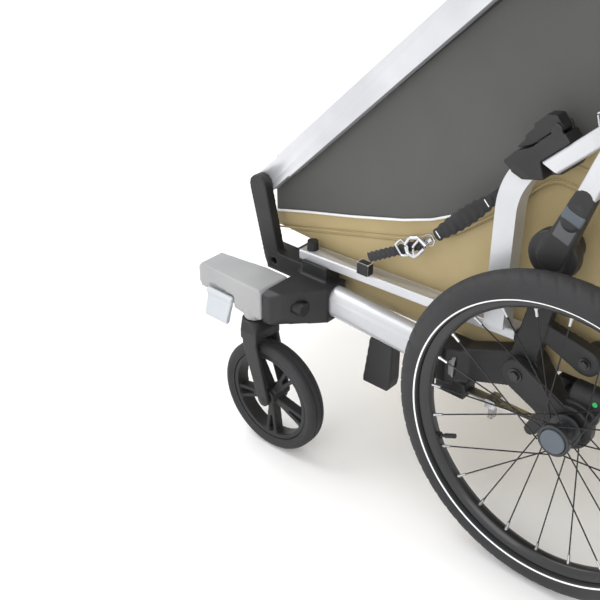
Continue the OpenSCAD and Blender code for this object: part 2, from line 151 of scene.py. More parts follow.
def add_noise(group, source, detail, scale_socket="Scale"):
    """A noise texture in a group that reads the group's own vector and scale."""
    texture = group.nodes.new("ShaderNodeTexNoise")
    texture.inputs["Detail"].default_value = detail
    group.links.new(source.outputs["Vector"], texture.inputs["Vector"])
    group.links.new(source.outputs[scale_socket], texture.inputs["Scale"])
    return texture


def add_math(group, operation, first, second):
    """A math node between two sockets, or between a socket and a number."""
    node = group.nodes.new("ShaderNodeMath")
    node.operation = operation
    for slot, value in enumerate((first, second)):
        if isinstance(value, (int, float)):
            node.inputs[slot].default_value = value
        else:
            group.links.new(value, node.inputs[slot])
    return node.outputs[0]


# %% Soft patches and fine grain
patches, patch_in, patch_out = new_group("soft_patches", {"Scale": 8.0}, ["Mask"])
patch_noise = add_noise(patches, patch_in, 5.0)
patch_range = patches.nodes.new("ShaderNodeMapRange")
patch_range.inputs["From Min"].default_value = 0.35
patch_range.inputs["From Max"].default_value = 0.65
patches.links.new(patch_noise.outputs[0], patch_range.inputs["Value"])
patches.links.new(patch_range.outputs[0], patch_out.inputs["Mask"])

grain, grain_in, grain_out = new_group("fine_grain", {"Scale": 900.0}, ["Height"])
pebbles = grain.nodes.new("ShaderNodeTexVoronoi")
grain.links.new(grain_in.outputs["Vector"], pebbles.inputs["Vector"])
grain.links.new(grain_in.outputs["Scale"], pebbles.inputs["Scale"])
grain_noise = add_noise(grain, grain_in, 3.0)
grain_sum = add_math(grain, "ADD", pebbles.outputs["Distance"], grain_noise.outputs[0])
grain.links.new(grain_sum, grain_out.inputs["Height"])
print("patches and grain are ready")

# %% Crossing threads and brushed lines
weave, weave_in, weave_out = new_group("crossing_threads", {"Scale": 900.0}, ["Height"])
weave_split = weave.nodes.new("ShaderNodeSeparateXYZ")
weave.links.new(weave_in.outputs["Vector"], weave_split.inputs[0])
thread_waves = []
for axis in ("X", "Y", "Z"):
    stretched = add_math(weave, "MULTIPLY", weave_split.outputs[axis], weave_in.outputs["Scale"])
    thread_waves.append(add_math(weave, "SINE", stretched, 0.0))
thread_sum = add_math(weave, "ADD", thread_waves[0], thread_waves[1])
thread_sum = add_math(weave, "ADD", thread_sum, thread_waves[2])
weave.links.new(add_math(weave, "MULTIPLY", thread_sum, 0.3), weave_out.inputs["Height"])

brushed, brushed_in, brushed_out = new_group("brushed_lines", {"Scale": 60.0}, ["Height"])
brushed_stretch = brushed.nodes.new("ShaderNodeVectorMath")
brushed_stretch.operation = "MULTIPLY"
brushed_stretch.inputs[1].default_value = (40.0, 1.0, 1.0)
brushed.links.new(brushed_in.outputs["Vector"], brushed_stretch.inputs[0])
brushed_noise = add_noise(brushed, brushed_in, 2.0)
brushed.links.new(brushed_stretch.outputs[0], brushed_noise.inputs["Vector"])
brushed.links.new(brushed_noise.outputs[0], brushed_out.inputs["Height"])
print("groups:", [group.name for group in bpy.data.node_groups])

# %% [markdown]
# ## One recipe for a finish
# Every finish here is a Principled surface with two near tones mixed by the soft patches, a gloss
# that wanders a little with the same patches, and one relief. Writing that recipe once keeps each
# material down to the few numbers in which it differs from the others.

# %% The recipe


def tone(red, green, blue):
    """A screen colour, 0 to 255, as the linear colour that a shader works in."""
    values = []
    for channel in (red, green, blue):
        share = channel / 255
        values.append(share / 12.92 if share < 0.04045 else ((share + 0.055) / 1.055) ** 2.4)
    return (*values, 1.0)


def place_group(material, group, coords, scale):
    """One of the shared groups in a material, reading the object's own coordinates."""
    node = material.node_tree.nodes.new("ShaderNodeGroup")
    node.node_tree = group
    node.inputs["Scale"].default_value = scale
    material.node_tree.links.new(coords.outputs["Object"], node.inputs["Vector"])
    return node


def finish(name, light, dark, gloss, relief, relief_scale, depth, patch_scale=7.0, metal=0.0,
           coat=0.0, sheen=0.0):
    """A surface of two tones whose roughness runs between the two values of gloss."""
    material = bpy.data.materials.new("finish_" + name)
    material.use_nodes = True
    nodes = material.node_tree.nodes
    links = material.node_tree.links
    surface = nodes["Principled BSDF"]
    coords = nodes.new("ShaderNodeTexCoord")
    mask = place_group(material, patches, coords, patch_scale).outputs["Mask"]
    mix = nodes.new("ShaderNodeMix")
    mix.data_type = "RGBA"
    mix.inputs["A"].default_value = light
    mix.inputs["B"].default_value = dark
    links.new(mask, mix.inputs["Factor"])
    links.new(mix.outputs["Result"], surface.inputs["Base Color"])
    wander = nodes.new("ShaderNodeMapRange")
    wander.inputs["To Min"].default_value = gloss[0]
    wander.inputs["To Max"].default_value = gloss[1]
    links.new(mask, wander.inputs["Value"])
    links.new(wander.outputs[0], surface.inputs["Roughness"])
    bump = nodes.new("ShaderNodeBump")
    bump.inputs["Strength"].default_value = 1.0
    bump.inputs["Distance"].default_value = depth
    height = place_group(material, relief, coords, relief_scale).outputs["Height"]
    links.new(height, bump.inputs["Height"])
    links.new(bump.outputs["Normal"], surface.inputs["Normal"])
    surface.inputs["Metallic"].default_value = metal
    surface.inputs["Coat Weight"].default_value = coat
    surface.inputs["Sheen Weight"].default_value = sheen
    return material


# %% [markdown]
# ## Metal, nylon and rubber
# The tubes are satin anodised aluminium. The anodising scatters part of the light, so they are
# only half metallic, with a soft gloss and very faint brushed lines. The castings are
# glass-filled nylon, dark and pebbled. Rubber is the roughest of the dark surfaces, and the
# wheel rims are anodised black with a harder shine.

# %% Finishes of the hard pieces
FINISH = {}


def add_finish(name, light, dark, *numbers, **extras):
    """Keeps a finish whose two tones are given as screen colours."""
    FINISH[name] = finish(name, tone(*light), tone(*dark), *numbers, **extras)


add_finish("silver_tube", (208, 209, 212), (194, 195, 199), (0.32, 0.42), brushed, 60.0, 0.00002,
           metal=0.5, coat=0.1)
add_finish("black_casting", (33, 33, 35), (26, 26, 28), (0.42, 0.58), grain, 1400.0, 0.00006)
add_finish("black_tube", (30, 30, 32), (23, 23, 25), (0.34, 0.48), grain, 2200.0, 0.00003, coat=0.1)
add_finish("arm_grey", (160, 160, 161), (148, 149, 151), (0.4, 0.52), grain, 1400.0, 0.00005)
add_finish("latch_grey", (192, 196, 201), (178, 184, 190), (0.34, 0.46), grain, 1400.0, 0.00004)
add_finish("button_blue", (84, 92, 101), (72, 80, 89), (0.36, 0.48), grain, 1600.0, 0.00004)
add_finish("spring_steel", (214, 214, 216), (188, 189, 192), (0.22, 0.4), brushed, 90.0, 0.00003,
           metal=1.0)
add_finish("polished_steel", (232, 232, 235), (205, 206, 210), (0.12, 0.24), brushed, 40.0,
           0.00001, metal=1.0)
add_finish("tyre_rubber", (42, 42, 44), (34, 34, 36), (0.6, 0.78), grain, 1000.0, 0.00008)
add_finish("caster_black", (34, 34, 36), (27, 27, 29), (0.48, 0.64), grain, 1100.0, 0.00006)
add_finish("rim_black", (32, 32, 34), (25, 25, 27), (0.3, 0.42), grain, 2400.0, 0.00002, coat=0.2)
add_finish("hub_black", (42, 43, 46), (32, 33, 36), (0.34, 0.46), grain, 1800.0, 0.00003)
add_finish("spoke_black", (36, 36, 38), (28, 28, 30), (0.24, 0.36), brushed, 50.0, 0.00001,
           metal=0.4)
add_finish("reflective_white", (248, 248, 248), (236, 238, 240), (0.3, 0.42), grain, 1800.0,
           0.00004)
add_finish("latch_dark", (84, 85, 88), (74, 75, 78), (0.4, 0.52), grain, 1400.0, 0.00004)
add_finish("marker_green", (70, 205, 120), (50, 180, 100), (0.35, 0.5), grain, 1500.0, 0.00003)
print(len(FINISH), "hard finishes")

# %% [markdown]
# ## Cloth, mesh and webbing
# The body is coated polyester: khaki, slightly shiny on the coating, with threads just visible.
# The side windows are a dense dark mesh. Webbing and seat fabric are matt and coarser. Cloth
# scatters light at its edge, which the sheen gives.

# %% Finishes of the soft pieces
add_finish("khaki_fabric", (180, 162, 119), (163, 145, 103), (0.62, 0.78), weave, 5200.0, 0.00012,
           patch_scale=5.0, sheen=0.12)
add_finish("window_mesh", (80, 80, 78), (73, 73, 71), (0.6, 0.72), weave, 4200.0, 0.0001,
           patch_scale=3.0, sheen=0.05)
add_finish("seat_fabric", (112, 112, 114), (96, 96, 99), (0.8, 0.92), weave, 2600.0, 0.0003,
           patch_scale=9.0, sheen=0.25)
add_finish("strap", (34, 34, 36), (26, 26, 28), (0.62, 0.8), weave, 2400.0, 0.0002,
           patch_scale=20.0, sheen=0.1)
add_finish("foam_grip", (40, 40, 42), (32, 32, 34), (0.82, 0.95), grain, 700.0, 0.0002)
add_finish("thread", (140, 124, 84), (128, 112, 74), (0.7, 0.85), weave, 3000.0, 0.0001)
add_finish("piping_white", (240, 240, 238), (226, 226, 224), (0.5, 0.65), weave, 3200.0, 0.0001)
add_finish("trim_dark", (28, 28, 30), (22, 22, 24), (0.5, 0.65), grain, 1500.0, 0.00006)
print(len(FINISH), "finishes in all")

# %% [markdown]
# ## Turning a bmesh into a piece
# Each piece ends the same way: doubles merged, normals turned outwards, smooth shading with the
# real edges kept sharp, a finish, the slot it belongs to, and the body that carries it.

# %% The piece helper and the small shapes


def piece(name, shape, finishes, body=None, sharp=32, merge=1e-5):
    """Makes the bmesh an object called name, finished and riding on its body."""
    if merge:
        bmesh.ops.remove_doubles(shape, verts=shape.verts, dist=merge)
        bmesh.ops.recalc_face_normals(shape, faces=shape.faces)
    mesh = bpy.data.meshes.new(name)
    shape.to_mesh(mesh)
    shape.free()
    mesh.polygons.foreach_set("use_smooth", [True] * len(mesh.polygons))
    mesh.set_sharp_from_angle(angle=radians(sharp))
    for entry in finishes if isinstance(finishes, (list, tuple)) else [finishes]:
        mesh.materials.append(FINISH[entry])
    obj = bpy.data.objects.new(name, mesh)
    bpy.context.scene.collection.objects.link(obj)
    if body:
        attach(obj, body)
    print(f"{name}: {len(mesh.polygons)} faces")
    return obj


def stand_in(node, ending, shape, finishes, sharp=32):
    """A piece that takes the place of a CAD node, on the node's body, with the finishes given."""
    obj = piece(f"{node}_{ending}", shape, finishes, cad_body(node), sharp)
    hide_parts(node)


def add_block(shape, middle, size, rounding=0.002, steps=2):
    """Adds a box with rounded edges to a bmesh, and returns its vertices."""
    made = bmesh.ops.create_cube(shape, size=1.0)["verts"]
    bmesh.ops.scale(shape, vec=size, verts=made)
    bmesh.ops.translate(shape, vec=middle, verts=made)
    edges = list({edge for vert in made for edge in vert.link_edges})
    out = bmesh.ops.bevel(
        shape, geom=edges, offset=rounding, segments=steps, profile=0.5, affect="EDGES",
        material=-1)
    return list({vert for vert in made if vert.is_valid} | set(out["verts"]))


def add_rod(shape, start, end, radius, sides=20, end_radius=None):
    """Adds a closed round bar between two points to a bmesh, and returns its vertices."""
    along = Vector(end) - Vector(start)
    place = Matrix.Translation((Vector(start) + Vector(end)) / 2)
    turn = along.to_track_quat("Z", "Y").to_matrix().to_4x4()
    return bmesh.ops.create_cone(
        shape, cap_ends=True, segments=sides, radius1=radius, radius2=end_radius or radius,
        depth=along.length, matrix=place @ turn)["verts"]


def add_spin(shape, outline, centre, steps=96, closed=True):
    """Spins an outline of (radius, offset along X) about the X axis through centre."""
    verts = [shape.verts.new(centre + Vector((offset, 0, radius))) for radius, offset in outline]
    edges = [shape.edges.new(pair) for pair in zip(verts, verts[1:])]
    if closed:
        edges.append(shape.edges.new((verts[-1], verts[0])))
    return bmesh.ops.spin(
        shape, geom=verts + edges, cent=centre, axis=(1, 0, 0), angle=2 * pi, steps=steps,
        use_merge=True)


def arc(centre, radius, start, turn, steps):
    """Points of an arc in the plane, from start through turn, both in degrees."""
    return [(centre[0] + radius * cos(radians(start + turn * step / steps)),
             centre[1] + radius * sin(radians(start + turn * step / steps)))
            for step in range(steps + 1)]


print("helpers are ready")

# %% [markdown]
# ## The light, the floor and the camera
# A product like this is shown on a white sweep under large soft lamps, so that the tubes carry
# long clean highlights and the shadows stay pale. The camera stands in front of the left wheel,
# about a metre and a half away and a little above the cabin, and looks down along the frame.

# %% Camera
CAMERA_PLACE = Vector((1.435, 0.580, 1.153))
CAMERA_AZIMUTH = radians(131.574)
CAMERA_HEIGHT = radians(31.099)
backwards = Vector((sin(CAMERA_AZIMUTH) * cos(CAMERA_HEIGHT),
                    -cos(CAMERA_AZIMUTH) * cos(CAMERA_HEIGHT),
                    sin(CAMERA_HEIGHT)))
camera_data = bpy.data.cameras.new("camera")
camera_data.lens = 63.67
camera_data.sensor_width = 36
camera = bpy.data.objects.new("camera", camera_data)
camera.location = CAMERA_PLACE
camera.rotation_euler = (-backwards).to_track_quat("-Z", "Y").to_euler()
bpy.context.scene.collection.objects.link(camera)
bpy.context.scene.camera = camera
bpy.context.scene.view_settings.view_transform = "Standard"
print("camera at", tuple(round(value, 3) for value in camera.location))

# %% Lamps and the white room


def add_lamp(name, place, target, size, watts):
    """A square soft lamp at place that shines at target."""
    data = bpy.data.lights.new(name, "AREA")
    data.shape = "SQUARE"
    data.size = size
    data.energy = watts
    lamp = bpy.data.objects.new(name, data)
    lamp.location = place
    lamp.rotation_euler = (Vector(target) - Vector(place)).to_track_quat("-Z", "Y").to_euler()
    bpy.context.scene.collection.objects.link(lamp)


add_lamp("key_lamp", (0.6, -2.6, 3.0), (0, 0, 0.4), 2.4, 58)
add_lamp("side_lamp", (3.4, 0.4, 2.2), (0, 0, 0.4), 2.0, 38)
add_lamp("back_lamp", (-1.8, 2.8, 2.6), (0, 0, 0.5), 2.4, 42)
world = bpy.data.worlds.new("white_room")
world.use_nodes = True
world.node_tree.nodes["Background"].inputs["Color"].default_value = (1, 1, 1, 1)
world.node_tree.nodes["Background"].inputs["Strength"].default_value = 1.0
bpy.context.scene.world = world

# %% Floor
floor_shape = bmesh.new()
bmesh.ops.create_circle(floor_shape, cap_ends=True, segments=96, radius=14)
FINISH["floor"] = finish(
    "floor", (0.96, 0.96, 0.96, 1), (0.95, 0.95, 0.95, 1), (0.5, 0.6), grain, 300.0, 0.00002)
floor = piece("floor", floor_shape, "floor")

# %% [markdown]
# ## Tubes and small machined pieces
# The frame's own meshes are loose triangles, which shade as flat facets. A copy whose doubles are
# merged can be shaded smooth with only its true edges sharp, so a drawn tube looks drawn. The
# copy keeps every size of the frame, and stands in for the node it came from.

# %% Copies of the frame's nodes


def merged_copy(node):
    """A bmesh with the node's mesh as one closed skin."""
    shape = bmesh.new()
    shape.from_mesh(frame["nodes"][node].data)
    bmesh.ops.remove_doubles(shape, verts=shape.verts, dist=2e-6)
    return shape


def machined(node, finish_name=None, sharp=28, rounding=0.0):
    """A smooth-shaded copy of a node, with its sharp edges broken if rounding is given."""
    shape = merged_copy(node)
    if rounding:
        bmesh.ops.dissolve_limit(
            shape, angle_limit=radians(1), verts=shape.verts, edges=shape.edges)
        edges = [edge for edge in shape.edges
                 if len(edge.link_faces) == 2 and edge.calc_face_angle(0) > radians(35)]
        bmesh.ops.bevel(
            shape, geom=edges, offset=rounding, segments=2, profile=0.5, affect="EDGES",
            clamp_overlap=True, material=-1)
    slot = cad_slot(node)
    obj = piece(node + "_skin", shape, finish_name or slot, cad_body(node), sharp, merge=0)
    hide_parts(node)
    return obj


# %% Drawn tubes and bars
for side_name in SIDES:
    machined(f"front_tube_{side_name}", rounding=0.004)
    for tube in ["post", "rear_tube"]:
        machined(f"{tube}_{side_name}")
for bar in ["base_tubes", "side_rails", "roof_bar", "front_crossbar", "axle_crossbar",
            "rear_loop", "leaf_springs"]:
    machined(bar)

# %% Spigots of the stroller arms, each with a rounded nose
for side_name, side in SIDES.items():
    shape = bmesh.new()
    add_rod(shape, at(side * 0.358, -0.519, 0.270), at(side * 0.358, -0.486, 0.270), 0.0108, 32)
    spigot = piece(f"spigot_{side_name}", shape, "spring_steel", f"arm_spigot_{side_name}")
    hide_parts(f"arm_spigot_{side_name}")
    shape = bmesh.new()
    add_rod(shape, at(side * 0.358, -0.484, 0.270), at(side * 0.358, -0.452, 0.270), 0.0116, 32)
    piece(f"spigot_end_{side_name}", shape, "black_casting", "chassis")

# %% [markdown]
# ## Moulded castings
# A nylon casting has no sharp edge anywhere: walls run into ribs through fillets, and the outer
# corners are rounded. Modelling each fillet by hand would take hours. A voxel remesh of the plain
# solid followed by a few rounds of smoothing rounds both the inner and the outer corners at once,
# and a decimate then takes away the faces that flat stretches don't need.

# %% Castings by remesh and smoothing


def moulded(node, voxel=0.002, rounds=6, keep=0.35, look=None):
    """A copy of a node with filleted corners, for moulded plastic and cast pieces."""
    slot = look or cad_slot(node)
    obj = piece(node + "_cast", merged_copy(node), slot, cad_body(node), merge=0)
    remesh = obj.modifiers.new("even_skin", "REMESH")
    remesh.mode = "VOXEL"
    remesh.voxel_size = voxel
    remesh.use_smooth_shade = True
    soften = obj.modifiers.new("fillets", "SMOOTH")
    soften.factor = 0.5
    soften.iterations = rounds
    thin = obj.modifiers.new("fewer_faces", "DECIMATE")
    thin.ratio = keep
    graph = bpy.context.evaluated_depsgraph_get()
    final = bpy.data.meshes.new_from_object(obj.evaluated_get(graph))
    obj.modifiers.clear()
    obj.data = final
    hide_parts(node)
    print(f"{obj.name}: {len(final.polygons)} faces after moulding")
    return obj


for side_name in SIDES:
    moulded(f"front_corner_{side_name}")
    moulded(f"yoke_{side_name}")
    moulded(f"trailing_arm_{side_name}")
    moulded(f"strut_{side_name}", look="black_casting")
    moulded(f"stroller_arm_{side_name}", rounds=4)
    moulded(f"fork_{side_name}", voxel=0.0015)
    moulded(f"caster_wheel_{side_name}", voxel=0.0016, rounds=4)
    moulded(f"arm_latch_{side_name}", voxel=0.0012, rounds=5)
    moulded(f"fold_latch_{side_name}", voxel=0.001, rounds=4)
moulded("fold_housings", voxel=0.0015, rounds=5)
moulded("handlebar_hubs")
moulded("skid_feet")
moulded("tow_receiver", voxel=0.0015, rounds=4)
moulded("handlebar", voxel=0.002, rounds=4)
moulded("handle_trigger", voxel=0.001)
moulded("brake_pedal", voxel=0.0015)

# %% [markdown]
# ## Main wheels
# A tyre is a ring of constant section, so its section is spun about the axle. The tread of a
# trailer tyre is nearly slick, cut by thin slanted grooves. They are made by pushing the rubber
# in along narrow slanted bands, which is what the mould's blades do. The pale ring low on the
# outer wall is a reflective stripe, given by a second material on those faces.

# %% Tyres
TYRE_RING = 0.226
TYRE_THICK = 0.024
GROOVES = 62
TYRE_STEPS = 620
for side_name, side in SIDES.items():
    shape = bmesh.new()
    hub_middle = at(side * wheel_x, 0, wheel_radius)
    outline = arc((TYRE_RING, 0), TYRE_THICK - 0.0003, -123, 246, 44)
    outline += arc((TYRE_RING, 0), TYRE_THICK - 0.005, 134, -268, 10)
    add_spin(shape, outline, hub_middle, TYRE_STEPS)
    bmesh.ops.remove_doubles(shape, verts=shape.verts, dist=1e-5)
    for vert in shape.verts:
        from_hub = vert.co - hub_middle
        out_from_axle = Vector((0, from_hub.y, from_hub.z))
        turn = atan2(from_hub.z, from_hub.y)
        across = from_hub.x * side
        up = out_from_axle.length - TYRE_RING
        around = atan2(across, up)
        on_tread = abs(around) < radians(62) and up * up + across * across > 0.021 ** 2
        phase = (turn / (2 * pi) * GROOVES + abs(around) * 0.55 + (0.5 if across > 0 else 0)) % 1
        if on_tread and phase < 0.2 and abs(around) > radians(9):
            ring_point = hub_middle + out_from_axle.normalized() * TYRE_RING
            vert.co += (ring_point - vert.co).normalized() * 0.0011
    for face in shape.faces:
        from_hub = face.calc_center_median() - hub_middle
        radius = Vector((0, from_hub.y, from_hub.z)).length
        if from_hub.x * side > 0.0205 and 0.2125 < radius < 0.2165:
            face.material_index = 1
    stand_in(f"tyre_{side_name}", "rubber", shape, ["tyre_rubber", "reflective_white"], 50)

# %% [markdown]
# ## Rims, spokes and hubs
# The rim is a rolled aluminium section, welded into a hoop and anodised black. Its section is
# spun like the tyre's. Twenty-four spokes leave the hub flanges at a tangent, cross their
# neighbours and end in brass nipples, so the wheel carries braking as well as load.

# %% Rims and valves
for side_name, side in SIDES.items():
    shape = bmesh.new()
    hub_middle = at(side * wheel_x, 0, wheel_radius)
    section = [(0.1988, -0.005), (0.1983, 0.0), (0.1988, 0.005), (0.2, 0.0068), (0.206, 0.0120),
               (0.2118, 0.0134), (0.2124, 0.0128), (0.2118, 0.0097), (0.206, 0.008),
               (0.2052, 0.0), (0.206, -0.008), (0.2118, -0.0097), (0.2124, -0.0128),
               (0.2118, -0.0134), (0.206, -0.0120), (0.2, -0.0068)]
    add_spin(shape, section, hub_middle, 288)
    stand_in(f"rim_{side_name}", "hoop", shape, "rim_black", 40)
    shape = bmesh.new()
    valve_way = Vector((0, cos(radians(205)), sin(radians(205))))
    add_rod(shape, hub_middle + valve_way * 0.2, hub_middle + valve_way * 0.174, 0.0026, 16)
    add_rod(shape, hub_middle + valve_way * 0.186, hub_middle + valve_way * 0.168, 0.0037, 16)
    add_rod(shape, hub_middle + valve_way * 0.1995, hub_middle + valve_way * 0.1955, 0.0058, 16)
    piece(f"valve_{side_name}", shape, "trim_dark", cad_body(f"rim_{side_name}"))

# %% Spokes and nipples
SPOKES = 24
for side_name, side in SIDES.items():
    spokes = bmesh.new()
    nipples = bmesh.new()
    for number in range(SPOKES):
        way = 1 if (number // 2) % 2 == 0 else -1
        rim_turn = radians(number * 360 / SPOKES)
        hub_turn = rim_turn + radians(way * 52)
        hub_x = (0.3615 if number % 2 == 0 else 0.3313) + way * 0.0022
        start = at(side * hub_x, 0.0256 * sin(hub_turn), wheel_radius - 0.0256 * cos(hub_turn))
        end = at(side * wheel_x, 0.1986 * sin(rim_turn), wheel_radius - 0.1986 * cos(rim_turn))
        along = (end - start).normalized()
        add_rod(spokes, start, end - along * 0.008, 0.00105, 10)
        add_rod(nipples, end - along * 0.0145, end - along * 0.0006, 0.0021, 12)
        add_rod(nipples, end - along * 0.004, end - along * 0.0004, 0.0028, 12)
    stand_in(f"spokes_{side_name}", "wire", spokes, "spoke_black")
    piece(f"nipples_{side_name}", nipples, "spring_steel", cad_body(f"spokes_{side_name}"))

# %% Hubs and quick-release buttons
for side_name, side in SIDES.items():
    middle = at(0, 0, wheel_radius)
    shape = bmesh.new()
    outline = [(0.0062, 0.327), (0.0176, 0.327), (0.0184, 0.3276), (0.0236, 0.329),
               (0.0240, 0.3298), (0.0240, 0.3330), (0.0228, 0.3337), (0.0146, 0.3358),
               (0.0140, 0.3370), (0.0140, 0.3540), (0.0146, 0.3552), (0.0228, 0.3572),
               (0.0240, 0.3580), (0.0240, 0.3648), (0.0234, 0.3655), (0.0196, 0.3655),
               (0.0190, 0.3648), (0.0190, 0.3613), (0.0062, 0.3613)]
    add_spin(shape, [(radius, side * offset) for radius, offset in outline], middle, 96)
    stand_in(f"hub_{side_name}", "shell", shape, "hub_black", 38)
    shape = bmesh.new()
    cap = [(0.0, 0.3648), (0.0184, 0.3648), (0.0185, 0.3669), (0.0179, 0.3677),
           (0.0160, 0.3680), (0.0120, 0.3677), (0.0, 0.3674)]
    add_spin(shape, [(radius, side * offset) for radius, offset in cap], middle, 72, closed=False)
    stand_in(f"hub_button_{side_name}", "cap", shape, "button_blue", 40)

# %% Caster tyres
caster_low, caster_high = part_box("caster_tyre_left")
caster_middle = (caster_low + caster_high) / 2
for side_name, side in SIDES.items():
    centre = Vector((side * caster_middle.x, caster_middle.y, caster_middle.z))
    shape = bmesh.new()
    outline = [(0.0805, 0.0135), (0.0812, 0.0142), (0.0835, 0.0143)]
    outline += arc((0.0898, 0.0078), 0.0098, 95, -90, 10)
    outline += [(0.0998, 0.0065), (0.0984, 0.0060), (0.0984, 0.0050), (0.0999, 0.0045)]
    outline += [(radius, -offset) for radius, offset in reversed(outline)]
    add_spin(shape, outline, centre, 200)
    stand_in(f"caster_tyre_{side_name}", "rubber", shape, "tyre_rubber", 40)

# %% [markdown]
# ## The strut's tube, inset and button
# The telescopic strut is a black casting that grips a silver tube. A mid-grey plate is let into
# its flat side, and an oval button releases it. They are plain rounded blocks, turned to the
# strut's slope about the pin at its foot.

# %% Helpers for sloping pieces


def turned(shape, verts, pivot, angle):
    """Turns vertices about X through pivot, from level to the slope angle in degrees."""
    bmesh.ops.rotate(shape, cent=pivot, matrix=Matrix.Rotation(radians(angle), 3, "X"),
                     verts=verts)


def add_hose(shape, points, radius, sides=10):
    """A closed round hose of one radius that follows points, made by extruding a circle."""
    frames = []
    for number, point in enumerate(points):
        before = points[max(number - 1, 0)]
        after = points[min(number + 1, len(points) - 1)]
        turn = (after - before).to_track_quat("Z", "X").to_matrix().to_4x4()
        frames.append(Matrix.Translation(point) @ turn)
    ring = bmesh.ops.create_circle(
        shape, cap_ends=True, segments=sides, radius=radius, matrix=frames[0])["verts"]
    edges = list({edge for vert in ring for edge in vert.link_edges})
    for old, new in zip(frames, frames[1:]):
        out = bmesh.ops.extrude_edge_only(shape, edges=edges)["geom"]
        verts = [item for item in out if isinstance(item, bmesh.types.BMVert)]
        edges = [item for item in out if isinstance(item, bmesh.types.BMEdge)]
        bmesh.ops.transform(shape, matrix=new @ old.inverted(), verts=verts)
    bmesh.ops.contextual_create(shape, geom=edges)


# %% Strut details
STRUT_SLOPE = 70
for side_name, side in SIDES.items():
    foot = at(side * 0.3275, -0.056, 0.500)
    body = cad_body(f"strut_{side_name}")
    shape = bmesh.new()
    verts = add_block(shape, foot + Vector((0, 0.256, 0)), (0.0168, 0.312, 0.0268), 0.0035, 3)
    turned(shape, verts, foot, STRUT_SLOPE)
    piece(f"strut_{side_name}_tube", shape, "silver_tube", body)
    shape = bmesh.new()
    verts = add_block(shape, foot + Vector((side * 0.0085, 0.046, 0)), (0.0012, 0.030, 0.026),
                      0.0005, 1)
    turned(shape, verts, foot, STRUT_SLOPE)
    piece(f"strut_{side_name}_plate", shape, "latch_dark", body)
    shape = bmesh.new()
    verts = add_block(shape, foot + Vector((side * 0.0090, 0.070, 0)), (0.006, 0.017, 0.031),
                      0.0028, 3)
    turned(shape, verts, foot, STRUT_SLOPE)
    piece(f"strut_{side_name}_button", shape, "button_blue", body)

# %% [markdown]
# ## Cloth of the cabin
# The body is sewn from coated polyester. Its side view has two lines: the top edge, which dips
# towards the front where a child climbs in, and the floor line. The tub is one sheet that goes
# down one wall, across the floor and up the other, so it is a grid of stations along the trailer
# by points around the section. The walls belly out by a few millimetres and ripple a little.

# %% The cabin's lines in side view
EDGE_LINE = [(-0.605, 0.358), (-0.541, 0.375), (-0.342, 0.426), (-0.249, 0.465),
             (-0.175, 0.526), (-0.104, 0.598), (0.240, 0.560)]
FLOOR_LINE = [(-0.605, 0.3315), (-0.520, 0.320), (-0.485, 0.245), (-0.100, 0.245),
              (-0.068, 0.268), (0.130, 0.268), (0.190, 0.285), (0.240, 0.345)]
TUB_HALF = 0.2575
BLEND_LOW = at(0, -0.300, 0.455)
BLEND_HIGH = at(0, -0.347, 0.629)


def bends_with_fold(obj):
    """Lets a piece of cloth bend between the chassis and the folding frame."""
    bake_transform(obj, "chassis", "upper_frame", BLEND_LOW, BLEND_HIGH)


def height_on(points, y, reach=0.014):
    """The height of a side-view line at y, averaged over a short reach so corners are soft."""
    total = 0
    for step in range(-3, 4):
        place = min(max(y + reach * step / 3, points[0][0]), points[-1][0] - 1e-6)
        for (y_a, z_a), (y_b, z_b) in zip(points, points[1:]):
            if y_a <= place < y_b:
                total += z_a + (z_b - z_a) * (place - y_a) / (y_b - y_a)
    return total / 7


def ripple(y, z, size, seed=0.0):
    """A small repeatable waviness of cloth at a side-view place."""
    slow = noise.noise(Vector((y * 9, z * 6, seed)))
    quick = noise.noise(Vector((y * 34 + z * 12, z * 10, seed + 4)))
    return size * (0.65 * slow + 0.35 * quick)


def add_grid_of(shape, rows):
    """Adds faces between rows of points, each row a list of the same length."""
    made = [[shape.verts.new(point) for point in row] for row in rows]
    for first, second in zip(made, made[1:]):
        for corner in range(len(first) - 1):
            shape.faces.new((first[corner], first[corner + 1], second[corner + 1],
                             second[corner]))
    return made


def thicken(shape, thickness):
    """Turns the sheet in a bmesh into a closed skin of the cloth's thickness."""
    bmesh.ops.remove_doubles(shape, verts=shape.verts, dist=1e-5)
    bmesh.ops.recalc_face_normals(shape, faces=shape.faces)
    area = sum(face.calc_area() for face in shape.faces)
    bmesh.ops.solidify(shape, geom=shape.faces, thickness=thickness)
    print("cloth area", round(area, 4), "m2")


# %% The tub
shape = bmesh.new()
rows = []
for station in range(121):
    y = -0.603 + 0.841 * station / 120
    low = height_on(FLOOR_LINE, y) + 0.0015
    high = height_on(EDGE_LINE, y)
    corner = min(0.03, (high - low) / 3)
    half = []
    for step in range(19):
        share = step / 18
        z = high - (high - low - corner) * share
        belly = sin(pi * share) * (0.0020 + ripple(y, z, 0.0030))
        tuck = -0.004 * max(0.0, 1 - abs(z - (high - 0.028)) / 0.006)
        half.append((TUB_HALF + belly + tuck * 0.35, z))
    half += [(TUB_HALF - corner + corner * cos(radians(turn)),
              low + corner - corner * sin(radians(turn))) for turn in (20, 40, 60, 80)]
    half += [((TUB_HALF - corner) * (1 - step / 8), low + 0.001 * sin(step)) for step in range(8)]
    half.append((0.0, low))
    left = [at(x, y, z) for x, z in half]
    right = [at(-x, y, z) for x, z in reversed(half[:-1])]
    rows.append(left + right)
add_grid_of(shape, rows)
thicken(shape, 0.0024)
tub = piece("tub_cloth", shape, "khaki_fabric", None, sharp=50, merge=0)
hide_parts("cabin_tub")
bends_with_fold(tub)

